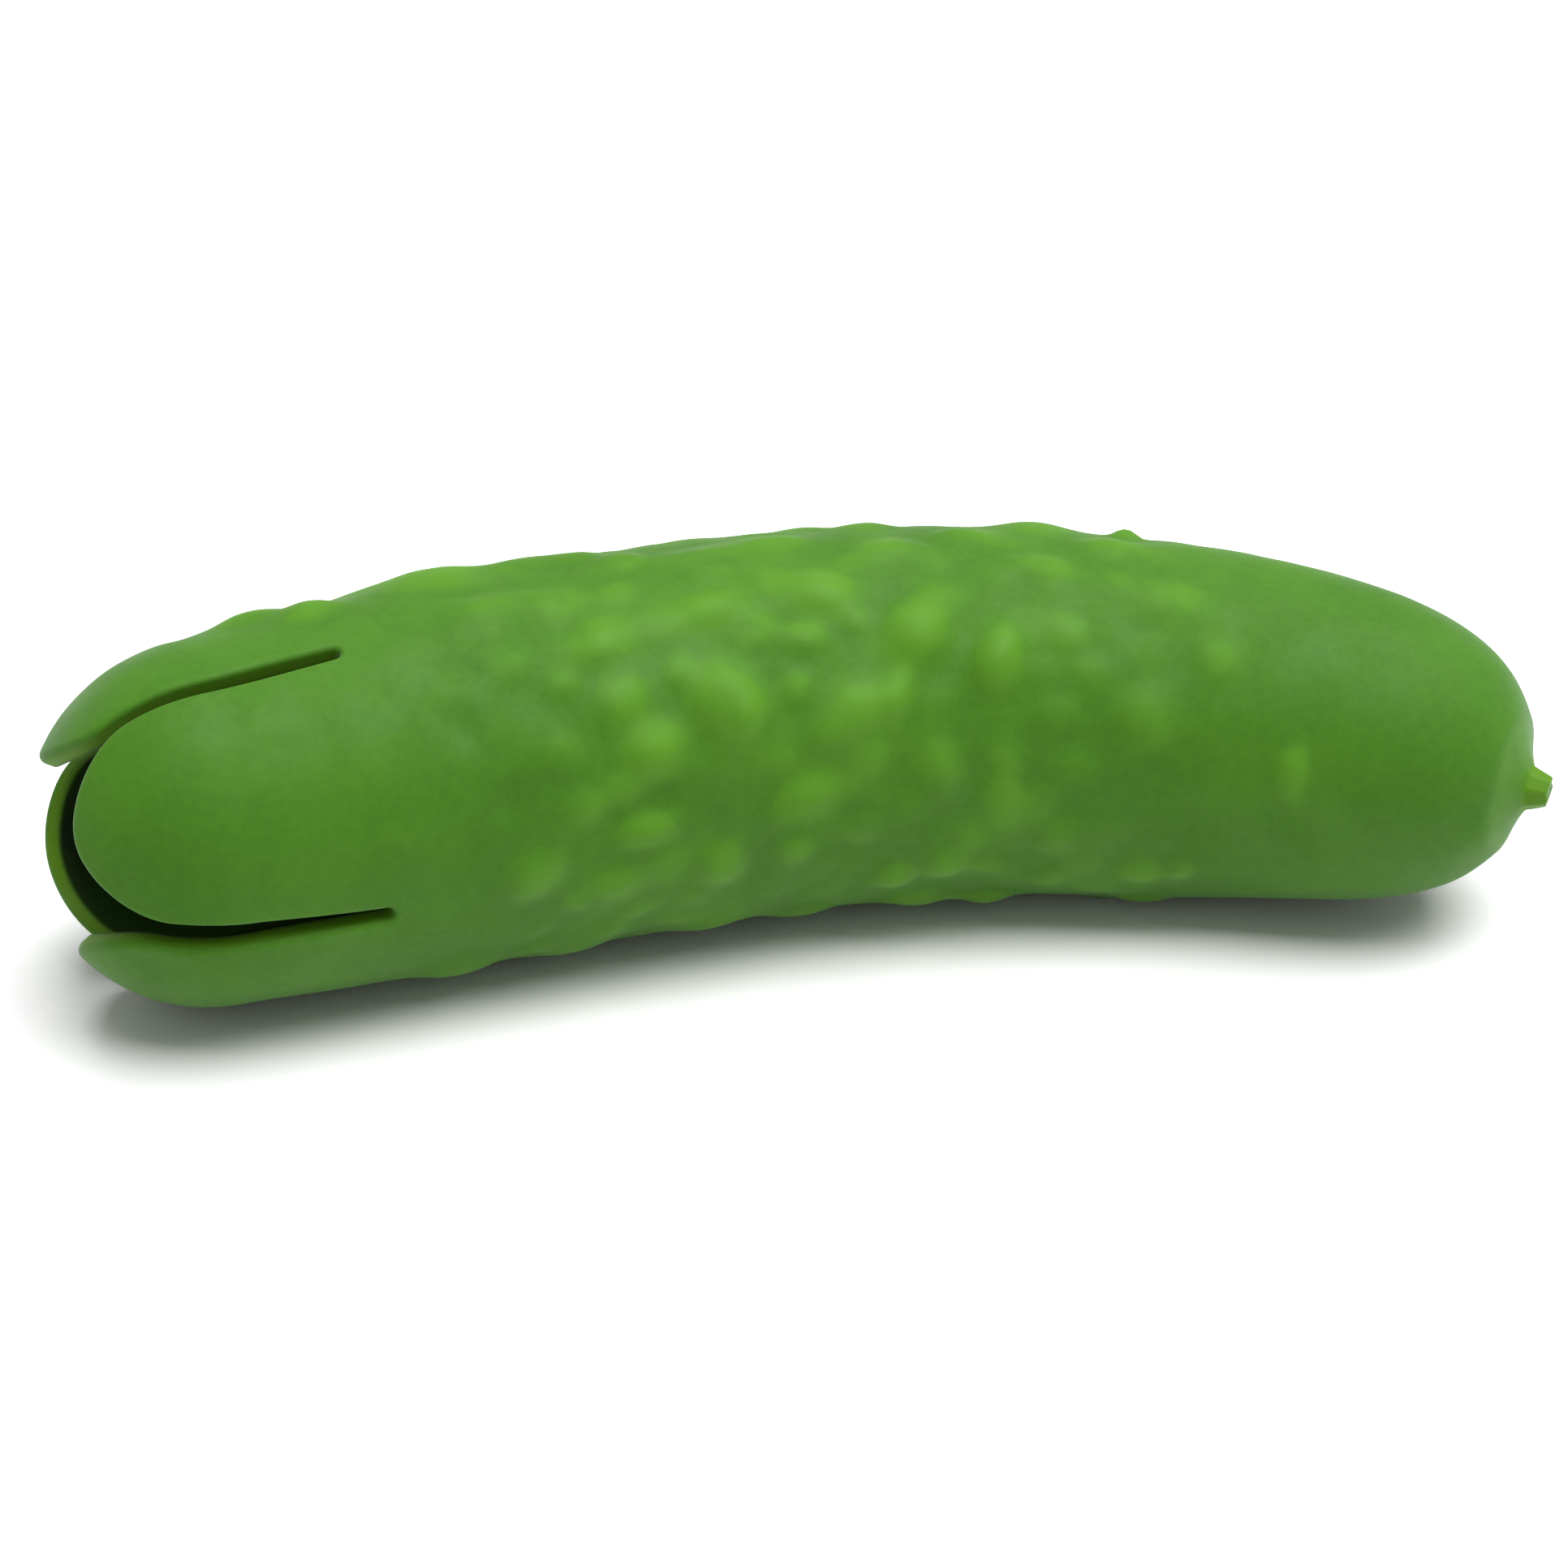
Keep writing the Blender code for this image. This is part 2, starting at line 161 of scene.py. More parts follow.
@dataclass(frozen=True)
class Strewing:
    """Warts at random places on one stretch of the skin.

    Attributes:
        count: Number of warts wanted.
        stations: Range of stations that they take.
        angles: Range of angles that they take.
        gap: Least distance between two warts' middles.
        lengths: Range of their lengths.
        heights: Range of their heights.
        slimness: Range of their widths over their lengths.
        tilts: Range of their tilts.
        tries: Most places that are tried.
    """

    count: int
    stations: Pair
    angles: Pair
    gap: float
    lengths: Pair
    heights: Pair
    slimness: Pair = (0.65, 0.95)
    tilts: Pair = (-30, 30)
    tries: int = 6000

    def add_to(self, warts: list[Wart], draw: np.random.Generator) -> None:
        """Add the warts to a list, keeping each apart from all others.

        Args:
            warts: Warts already placed; the new ones are added to it.
            draw: Source of the random numbers.
        """
        wanted = len(warts) + self.count
        for _ in range(self.tries):
            if len(warts) == wanted:
                break
            station, angle = draw.uniform(*self.stations), draw.uniform(*self.angles)
            near = min(math.hypot(station - wart.station,
                                  MM_PER_DEGREE * ((angle - wart.angle + 180) % 360 - 180))
                       for wart in warts)
            if near > self.gap:
                length = draw.uniform(*self.lengths)
                warts.append(Wart(station, angle, length, length * draw.uniform(*self.slimness),
                                  draw.uniform(*self.heights), draw.uniform(*self.tilts)))


HIDDEN_WARTS = Strewing(95, (27, 152), (122, 305), 6.5, (5.5, 10.0), (0.35, 0.8))
FILLER_WARTS = Strewing(40, (54, 140), (-45, 85), 5.2, (5.0, 7.5), (0.2, 0.5))


@dataclass
class Relief:
    """The warts, dents and slow unevenness of the moulded skin.

    Attributes:
        placed: Warts with a place of their own.
        strewn: Warts strewn over the hidden side, and small ones between the placed ones.
        seed: Seed of the strewing.
        boldness: Factor on the height of the placed warts.
        breadth: Factor on their length and width.
        dent_depth: Depth of the unevenness between warts.
        dent_size: Distance over which it rises and falls.
        dent_mix: Falloff, frequency step and octaves of its noise.
        dent_rise: Stations between which it grows to full depth.
        dent_fade: Stations between which it fades again.
        dent_least: Share of it that is left outside them.
        broad_depth: Depth of the broadest unevenness.
        broad_scale: Its frequency over the dents'.
        broad_offset: Shift between the two noises.
    """

    placed: tuple[tuple[float, ...], ...] = PLACED_WARTS
    strewn: tuple[Strewing, ...] = (HIDDEN_WARTS, FILLER_WARTS)
    seed: int = 11
    boldness: float = 1.95
    breadth: float = 1.15
    dent_depth: float = 0.26
    dent_size: float = 7.5
    dent_mix: tuple[float, float, int] = (0.9, 2.1, 2)
    dent_rise: Pair = (44, 58)
    dent_fade: Pair = (135, 165)
    dent_least: float = 0.3
    broad_depth: float = 0.18
    broad_scale: float = 0.33
    broad_offset: float = 7.0
    warts: list[Wart] = field(init=False)

    def __post_init__(self) -> None:
        """Gather the placed warts and strew the others between them."""
        self.warts = [Wart(station, angle, length * self.breadth, width * self.breadth,
                           height * self.boldness, *tilt)
                      for station, angle, length, width, height, *tilt in self.placed]
        draw = np.random.default_rng(self.seed)
        for strewing in self.strewn:
            strewing.add_to(self.warts, draw)

    def height(self, stations: Array, angles: Array, radii: Array) -> Array:
        """Rise of the skin above its turned shape at each point."""
        rise = np.zeros(stations.shape)
        for wart in self.warts:
            rise += wart.rise(stations, angles, radii)
        zone = ramp(*self.dent_rise, stations) * (1 - ramp(*self.dent_fade, stations))
        turn = np.radians(angles)
        around = np.stack([stations, radii * np.cos(turn), radii * np.sin(turn)], axis=-1)
        flat = (around / self.dent_size).reshape(-1, 3)
        dents = np.array([noise.fractal(Vector(point), *self.dent_mix) for point in flat])
        broad = np.array([noise.noise(Vector(point * self.broad_scale + self.broad_offset))
                          for point in flat])
        share = self.dent_least + (1 - self.dent_least) * zone
        rise += self.dent_depth * dents.reshape(stations.shape) * share
        return rise + self.broad_depth * broad.reshape(stations.shape)


@dataclass
class Bend:
    """The curved line that the sleeve's axis follows, and its height above the surface.

    Attributes:
        headings: Direction of the axis in plan at stations along it.
        heights: Height of the axis at stations along it.
        length: Length of the axis.
        step: Spacing of the points that the line is added up from.
    """

    headings: Table = ((0, 17.0), (48, 16.5), (96, 7.5), (144, -13.0), (175, -32.0), (185, -34.0),
                       (194, -24.0))
    heights: Table = ((0, 22.6), (42, 23.1), (78, 23.3), (115, 22.8), (144, 21.8), (170, 21.7),
                      (194, 21.3))
    length: float = 198.0
    step: float = 0.25

    def __post_init__(self) -> None:
        """Add the line up from its headings."""
        self.line = np.arange(0.0, self.length, self.step)
        self.turns = np.radians(smooth_table(self.headings, self.line))
        middle = np.radians(smooth_table(self.headings, self.line[:-1] + 0.5 * self.step))
        self.x = np.concatenate([[0.0], np.cumsum(np.cos(middle) * self.step)])
        self.y = np.concatenate([[0.0], np.cumsum(np.sin(middle) * self.step)])

    def place(self, stations: Array, radii: Array, angles: Array) -> Array:
        """Carry points of the straight sleeve onto the bent one, as positions."""
        clipped = np.clip(stations, 0.0, self.line[-1])
        heading = np.interp(clipped, self.line, self.turns)
        beyond = stations - clipped
        turn = np.radians(angles)
        across = -radii * np.cos(turn)
        x = np.interp(clipped, self.line, self.x) + beyond * np.cos(heading) - across * np.sin(heading)
        y = np.interp(clipped, self.line, self.y) + beyond * np.sin(heading) + across * np.cos(heading)
        z = smooth_table(self.heights, clipped) + radii * np.sin(turn)
        return np.stack([x, y, z], axis=-1)


@dataclass
class SkinProfile:
    """The turned outline of the skin, read by reach from the mouth's pole.

    Attributes:
        mouth_radius: Radius of the dome that the petals close to.
        radii: Outer radius at stations from the mouth dome's edge to the stub.
        step: Spacing of the outline's points.
        smoothing: Number of points that its normals are averaged over.
    """

    mouth_radius: float = 22.0
    radii: Table = ((22.0, 22.0), (42, 23.3), (78, 23.7), (115, 23.3), (144, 22.2), (163, 20.3),
                    (175, 17.8), (182.5, 13.9), (187.2, 8.6), (190, 2.5))
    step: float = 0.2
    smoothing: int = 15

    def __post_init__(self) -> None:
        """Lay the dome and the body end to end and measure the reach along them."""
        polar = np.arange(0.0, 0.5 * math.pi, self.step / self.mouth_radius)
        station = np.arange(self.radii[0][0], self.radii[-1][0] + self.step, self.step)
        body = smooth_table(self.radii, station)
        self.station = np.concatenate([self.mouth_radius * (1 - np.cos(polar)), station])
        self.radius = np.concatenate([self.mouth_radius * np.sin(polar), body])
        reach = np.hypot(np.diff(self.station), np.diff(self.radius))
        self.reach = np.concatenate([[0.0], np.cumsum(reach)])
        slope = np.gradient(self.radius, self.reach)
        advance = np.gradient(self.station, self.reach)
        scale = np.hypot(slope, advance)
        soften = np.hanning(self.smoothing)
        soften /= soften.sum()
        self.normal_along = self._soften(-slope / scale, soften)
        self.normal_out = self._soften(advance / scale, soften)

    @staticmethod
    def _soften(values: Array, window: Array) -> Array:
        """Average values over a window, holding the ends."""
        pad = len(window) // 2
        return np.convolve(np.pad(values, pad, mode="edge"), window, mode="valid")

    def at(self, reach: Array, lift: Array) -> tuple[Array, Array]:
        """Stations and radii of points at a reach, lifted off the outline along its normal."""
        station = np.interp(reach, self.reach, self.station)
        radius = np.interp(reach, self.reach, self.radius)
        along = np.interp(reach, self.reach, self.normal_along)
        out = np.interp(reach, self.reach, self.normal_out)
        return station + along * lift, radius + out * lift

    def radius_at(self, reach: Array) -> Array:
        """Outer radius at each reach."""
        return np.interp(reach, self.reach, self.radius)


@dataclass
class Mouth:
    """The four petals and the slots between them.

    Attributes:
        slot_angles: Angle of each slot's middle, in rising order.
        petal_tips: Reach of each petal's tip; a petal lies after the slot of its number.
        slot_root: Reach of the slots' closed ends.
        slot_half_width: Half the width of a slot along its straight stretch.
        petal_leans: Turn of each petal's end towards rising angles.
        lean_reach: Reach up to which a petal leans in full.
        petal_roundings: Length of each petal's rounded end.
        tip_widths: Angle that each petal spans at its tip, as a share of its root's.
        edge_rounding: Radius of the petals' outer edges.
        tip_rounding: Radius of the outer edge at a petal's tip.
        lining_rounding: Radius of the petals' inner edges.
        across: Mesh columns across a petal.
        round_rows: Mesh rows in a petal's rounded end.
        side_rows: Mesh rows along a petal's straight stretch.
        root_columns: Mesh columns round a slot's closed end.
        join_rows: Mesh rows between the slots' ends and the plain body.
        join_length: Length of skin that those rows cover.
    """

    slot_angles: tuple[float, ...] = (-9.0, 77.0, 167.0, 259.0)
    petal_tips: tuple[float, ...] = (12.4, 11.9, 12.0, 11.8)
    slot_root: float = 50.3
    slot_half_width: float = 0.9
    petal_leans: tuple[float, ...] = (2.3, -2.2, 0.0, 0.0)
    lean_reach: float = 18.0
    petal_roundings: tuple[float, ...] = (12.0, 9.0, 10.0, 10.0)
    tip_widths: tuple[float, ...] = (0.91, 0.95, 0.95, 0.95)
    edge_rounding: float = 0.75
    tip_rounding: float = 1.2
    lining_rounding: float = 0.4
    across: int = 44
    round_rows: int = 22
    side_rows: int = 40
    root_columns: int = 8
    join_rows: int = 5
    join_length: float = 3.0

    @property
    def straight_root(self) -> float:
        """Reach at which the slots' closed ends start to round."""
        return self.slot_root - self.slot_half_width

    @property
    def join_reach(self) -> float:
        """Reach of the ring at which the plain body starts."""
        return self.straight_root + self.join_length

    def petal_span(self, petal: int) -> Pair:
        """Middle angle of a petal and half the angle between its slots' middles."""
        start = self.slot_angles[petal]
        end = self.slot_angles[(petal + 1) % len(self.slot_angles)]
        span = (end - start) % 360
        return start + 0.5 * span, 0.5 * span

    def middle_angle(self, petal: int, reach: Array) -> Array:
        """Angle of a petal's middle line at a reach, leaning more towards its tip."""
        middle, _ = self.petal_span(petal)
        return middle + self.petal_leans[petal] * (1 - ramp(self.lean_reach, self.straight_root, reach))

    def half_angle(self, petal: int, reach: Array, inset: float, skin: SkinProfile) -> Array:
        """Half the angle that a petal spans at a reach, its edge drawn in by an inset."""
        _, half_span = self.petal_span(petal)
        root_radius = skin.radius_at(np.array(self.straight_root))
        start = self.petal_tips[petal]
        along = np.clip((reach - start) / (self.straight_root - start), 0.0, 1.0)
        half_slot = np.degrees(self.slot_half_width / root_radius)
        share = self.tip_widths[petal] + (1 - self.tip_widths[petal]) * along
        width = share * (half_span - half_slot)
        return width - np.degrees(inset / skin.radius_at(reach))


@dataclass
class Stub:
    """The short faceted moulding stub at the closed end.

    Attributes:
        root_radius: Radius of the skin at which the stub's flare starts.
        base_radius: Radius of the stub above its flare.
        end_radius: Radius of its end.
        length: Length beyond the skin's end.
        set_back: How far before the skin's end the flare is done.
        flare_powers: How fast the flare runs along the axis, and how fast it narrows.
        rounding: Radius of the end's edge.
        cap_shares: Radii of the end face's inner rings, as shares of its own.
        facets: Number of flats round it.
        facet_edge: Corner radius of the facets over the stub's radius.
        end_tilt: Tilt of the end face.
        notch: Depth of the step across it.
        notch_place: Height of the step above the axis, and half the width of its slope.
        steps: Rings along the flare, and along the stub.
        edge_steps: Rings round the end's edge.
        shade: Relief and depth that colour the stub.
    """

    root_radius: float = 9.0
    base_radius: float = 2.75
    end_radius: float = 1.95
    length: float = 2.0
    set_back: float = 0.5
    flare_powers: Pair = (1.35, 1.7)
    rounding: float = 0.3
    cap_shares: tuple[float, ...] = (0.6, 0.3)
    facets: int = 8
    facet_edge: float = 1.03
    end_tilt: float = 8.0
    notch: float = 0.25
    notch_place: Pair = (0.2, 0.3)
    steps: int = 8
    edge_steps: int = 4
    shade: Pair = (0.2, 0.35)

    def outline(self, start: float, end: float) -> list[Triple]:
        """Stations, radii and squareness of rings from the flare to the end's middle.

        Args:
            start: Station at which the flare leaves the skin.
            end: Station at which the skin would close.

        Returns:
            One (station, radius, share of facets) triple for each ring.
        """
        along, inward = self.flare_powers
        neck = end - self.set_back
        edge = end + self.length - self.rounding
        rings = []
        for step in range(1, self.steps + 1):
            t = step / self.steps
            station = start + (neck - start) * (1 - (1 - t) ** along)
            radius = self.base_radius + (self.root_radius - self.base_radius) * (1 - t) ** inward
            rings.append((station, radius, t * t))
        for step in range(1, self.steps + 1):
            t = step / self.steps
            rings.append((neck + (edge - neck) * t,
                          self.base_radius + (self.end_radius - self.base_radius) * t, 1.0))
        for step in range(1, self.edge_steps + 1):
            turn = 0.5 * math.pi * step / self.edge_steps
            rings.append((edge + self.rounding * math.sin(turn),
                          self.end_radius - self.rounding * (1 - math.cos(turn)), 1.0))
        for share in self.cap_shares:
            rings.append((end + self.length, (self.end_radius - self.rounding) * share, share))
        return rings

    def facet_share(self, angles: Array) -> Array:
        """Radius of a many-sided section at each angle, as a share of the round one's."""
        side = 360.0 / self.facets
        within = (angles + 0.5 * side) % side - 0.5 * side
        flat = math.cos(math.radians(0.5 * side)) / np.cos(np.radians(within))
        return np.minimum(flat * self.facet_edge, 1.0)

    def end_shift(self, across: Array) -> Array:
        """Shift along the axis of the end face's tilt and step, at heights above the axis."""
        place, slope = self.notch_place
        return (math.tan(math.radians(self.end_tilt)) * across
                - self.notch * ramp(-slope, slope, across - place))


@dataclass
class MeshParts:
    """Grids of points gathered into one mesh.

    Attributes:
        points: Point positions, grid by grid.
        values: One (relief, depth) pair for each point.
        faces: Corner numbers of each face.
    """

    points: list[Array] = field(default_factory=list)
    values: list[Array] = field(default_factory=list)
    faces: list[tuple[int, ...]] = field(default_factory=list)
    count: int = 0

    def add_grid(self, points: Array, values: Array, wrap: bool = False) -> int:
        """Add a grid of quads.

        Args:
            points: Positions, rows by columns by three.
            values: (relief, depth) of each point.
            wrap: Whether the last column joins the first.

        Returns:
            Number of the first point.
        """
        rows, columns = points.shape[:2]
        start = self.count
        self.points.append(points.reshape(-1, 3))
        self.values.append(values.reshape(-1, 2))
        self.count += rows * columns
        last = columns if wrap else columns - 1
        for row in range(rows - 1):
            low = start + row * columns
            high = low + columns
            for column in range(last):
                after = (column + 1) % columns
                self.faces.append((low + column, low + after, high + after, high + column))
        return start

    def add_cap(self, ring_start: int, columns: int, centre: Array, value: Pair) -> None:
        """Close a ring of points with a fan round a centre."""
        self.points.append(centre.reshape(1, 3))
        self.values.append(np.array([value], float))
        middle = self.count
        self.count += 1
        for column in range(columns):
            self.faces.append((ring_start + column, ring_start + (column + 1) % columns, middle))

    def mesh(self, name: str, weld: float) -> bpy.types.Mesh:
        """Weld the grids into one closed mesh with its faces outward.

        Args:
            name: Name of the mesh.
            weld: Distance under which points are one, in metres.

        Returns:
            The mesh, with point attributes for relief and depth.
        """
        mesh = bpy.data.meshes.new(name)
        points = np.concatenate(self.points) * MM
        values = np.concatenate(self.values)
        mesh.from_pydata(points.tolist(), [], self.faces)
        for column, attribute_name in enumerate(("relief", "depth")):
            attribute = mesh.attributes.new(attribute_name, "FLOAT", "POINT")
            attribute.data.foreach_set("value", values[:, column].astype(np.float32))
        work = bmesh.new()
        work.from_mesh(mesh)
        bmesh.ops.remove_doubles(work, verts=work.verts, dist=weld)
        bmesh.ops.recalc_face_normals(work, faces=work.faces)
        open_edges = sum(1 for edge in work.edges if len(edge.link_faces) != 2)
        work.to_mesh(mesh)
        work.free()
        log.info("%s: %d points, %d faces, %d open edges", name, len(mesh.vertices), len(mesh.polygons),
                 open_edges)
        return mesh


@dataclass(frozen=True)
class Cloud:
    """Noise that is stretched to a range of 0 to 1 between two of its levels.

    Attributes:
        scale: Frequency of the noise, per metre.
        detail: Number of finer layers in it.
        low: Level that becomes 0.
        high: Level that becomes 1.
    """

    scale: float
    detail: float
    low: float = 0.3
    high: float = 0.7


@dataclass(frozen=True)
class SiliconeFinish:
    """Matte, slightly translucent moulded silicone.

    Attributes:
        green: Main colour of the skin.
        cloud_and_shade_green: Colour of the darker clouds in it, and painted shade in the hollows between
            warts.
        pale: Colour of the fine flecks, and a painted highlight on the warts' tops.
        cut: Colour of the cut petal edges, where light passes through the wall.
        lining: Colour of the hollow's face, painted shade that makes it much darker than the skin.
        mottle: Broad clouds of the darker green and the main colour.
        mottle_least: Least share of the main colour in them.
        flecks: Fine flecks of the pale colour.
        fleck_share: Greatest share of them.
        valley_shade: Relief at which the darker green, as painted shade, is strongest and gone, and its
            greatest share.
        wart_top_highlight: Relief at which the pale colour, a painted highlight, starts and is strongest,
            and its greatest share.
        cut_depth: Depth at which the cut's colour starts and is full, and its greatest share.
        hollow_shade_depth: Depth at which the hollow's painted shade starts and is full.
        roughness: Lowest and highest roughness.
        roughness_cloud: Clouds that it varies with.
        grain: Finest bumps of the skin.
        grain_strength: Their strength.
        grain_height: Their height, in metres.
        ior: Index of refraction.
        gloss: Level of the mirror-like part.
        scattering: Share of light that travels in the silicone.
        scatter: How far red, green and blue light travel in it, in metres.
        veil: Strength of the pale bloom at grazing angles.
        veil_roughness: Its roughness.
        veil_tint: Its colour.
    """

    green: Triple = (0.058, 0.174, 0.0058)
    cloud_and_shade_green: Triple = (0.034, 0.120, 0.0036)
    pale: Triple = (0.076, 0.210, 0.0085)
    cut: Triple = (0.082, 0.190, 0.002)
    lining: Triple = (0.014, 0.048, 0.002)
    mottle: Cloud = Cloud(75.0, 3.0, 0.38, 0.62)
    mottle_least: float = 0.40
    flecks: Cloud = Cloud(900.0, 2.0, 0.35, 0.65)
    fleck_share: float = 0.10
    valley_shade: Triple = (-0.2, 0.5, 0.85)
    wart_top_highlight: Triple = (0.3, 1.5, 0.6)
    cut_depth: Triple = (0.12, 0.5, 0.85)
    hollow_shade_depth: Pair = (0.7, 1.0)
    roughness: Pair = (0.56, 0.68)
    roughness_cloud: Cloud = Cloud(160.0, 4.0)
    grain: Cloud = Cloud(2200.0, 3.0)
    grain_strength: float = 0.10
    grain_height: float = 0.0002
    ior: float = 1.41
    gloss: float = 0.22
    scattering: float = 0.25
    scatter: Triple = (0.0007, 0.0012, 0.0003)
    veil: float = 0.10
    veil_roughness: float = 0.45
    veil_tint: Triple = (0.85, 0.95, 0.85)

    def material(self) -> bpy.types.Material:
        """Build the silicone's node material."""
        material = bpy.data.materials.new("green_silicone")
        material.use_nodes = True
        tree = material.node_tree
        nodes, links = tree.nodes, tree.links
        shader = nodes["Principled BSDF"]
        coords = nodes.new("ShaderNodeTexCoord")

        def spread(value: Socket, low: float, high: float, to_low: float, to_high: float) -> Socket:
            """Map a range of values onto another, with soft ends."""
            node = nodes.new("ShaderNodeMapRange")
            node.interpolation_type = "SMOOTHSTEP"
            for name, number in (("From Min", low), ("From Max", high),
                                 ("To Min", to_low), ("To Max", to_high)):
                node.inputs[name].default_value = number
            links.new(value, node.inputs["Value"])
            return node.outputs["Result"]

        def raw_noise(cloud: Cloud) -> Socket:
            """Noise of a cloud's size, not stretched."""
            texture = nodes.new("ShaderNodeTexNoise")
            texture.inputs["Scale"].default_value = cloud.scale
            texture.inputs["Detail"].default_value = cloud.detail
            links.new(coords.outputs["Object"], texture.inputs["Vector"])
            return texture.outputs["Fac"]

        def clouds(cloud: Cloud, to_low: float, to_high: float) -> Socket:
            """Stretched noise, mapped softly onto a range."""
            stretched = spread(raw_noise(cloud), cloud.low, cloud.high, 0.0, 1.0)
            return spread(stretched, 0.0, 1.0, to_low, to_high)

        def blend(amount: Socket, first: object, second: object) -> Socket:
            """Mix two colours, each a colour value or a socket."""
            node = nodes.new("ShaderNodeMix")
            node.data_type = "RGBA"
            links.new(amount, node.inputs["Factor"])
            for socket, colour in ((node.inputs["A"], first), (node.inputs["B"], second)):
                if isinstance(colour, Socket):
                    links.new(colour, socket)
                else:
                    socket.default_value = (*colour, 1.0)
            return node.outputs["Result"]

        def attribute(name: str) -> Socket:
            """Value stored on the mesh's points."""
            node = nodes.new("ShaderNodeAttribute")
            node.attribute_name = name
            return node.outputs["Fac"]

        relief, depth = attribute("relief"), attribute("depth")
        base = blend(clouds(self.mottle, self.mottle_least, 1.0), self.cloud_and_shade_green, self.green)
        # Painted shade: the darker green is laid over the low skin between warts, strongest in dents.
        strongest, gone, most = self.valley_shade
        base = blend(spread(relief, strongest, gone, most, 0.0), base, self.cloud_and_shade_green)
        # Painted highlight: the paler green is laid over the warts' tops.
        starts, full, most = self.wart_top_highlight
        base = blend(spread(relief, starts, full, 0.0, most), base, self.pale)
        base = blend(clouds(self.flecks, 0.0, self.fleck_share), base, self.pale)
        starts, full, most = self.cut_depth
        base = blend(spread(depth, starts, full, 0.0, most), base, self.cut)
        # Painted shade: the hollow's face is coloured a much darker green than the skin.
        base = blend(spread(depth, *self.hollow_shade_depth, 0.0, 1.0), base, self.lining)
        links.new(base, shader.inputs["Base Color"])
        links.new(clouds(self.roughness_cloud, *self.roughness), shader.inputs["Roughness"])
        bump = nodes.new("ShaderNodeBump")
        bump.inputs["Strength"].default_value = self.grain_strength
        bump.inputs["Distance"].default_value = self.grain_height
        links.new(raw_noise(self.grain), bump.inputs["Height"])
        links.new(bump.outputs["Normal"], shader.inputs["Normal"])
        for name, value in (("IOR", self.ior), ("Specular IOR Level", self.gloss),
                            ("Subsurface Weight", self.scattering), ("Subsurface Radius", self.scatter),
                            ("Subsurface Scale", 1.0), ("Sheen Weight", self.veil),
                            ("Sheen Roughness", self.veil_roughness),
                            ("Sheen Tint", (*self.veil_tint, 1.0))):
            shader.inputs[name].default_value = value
        return material


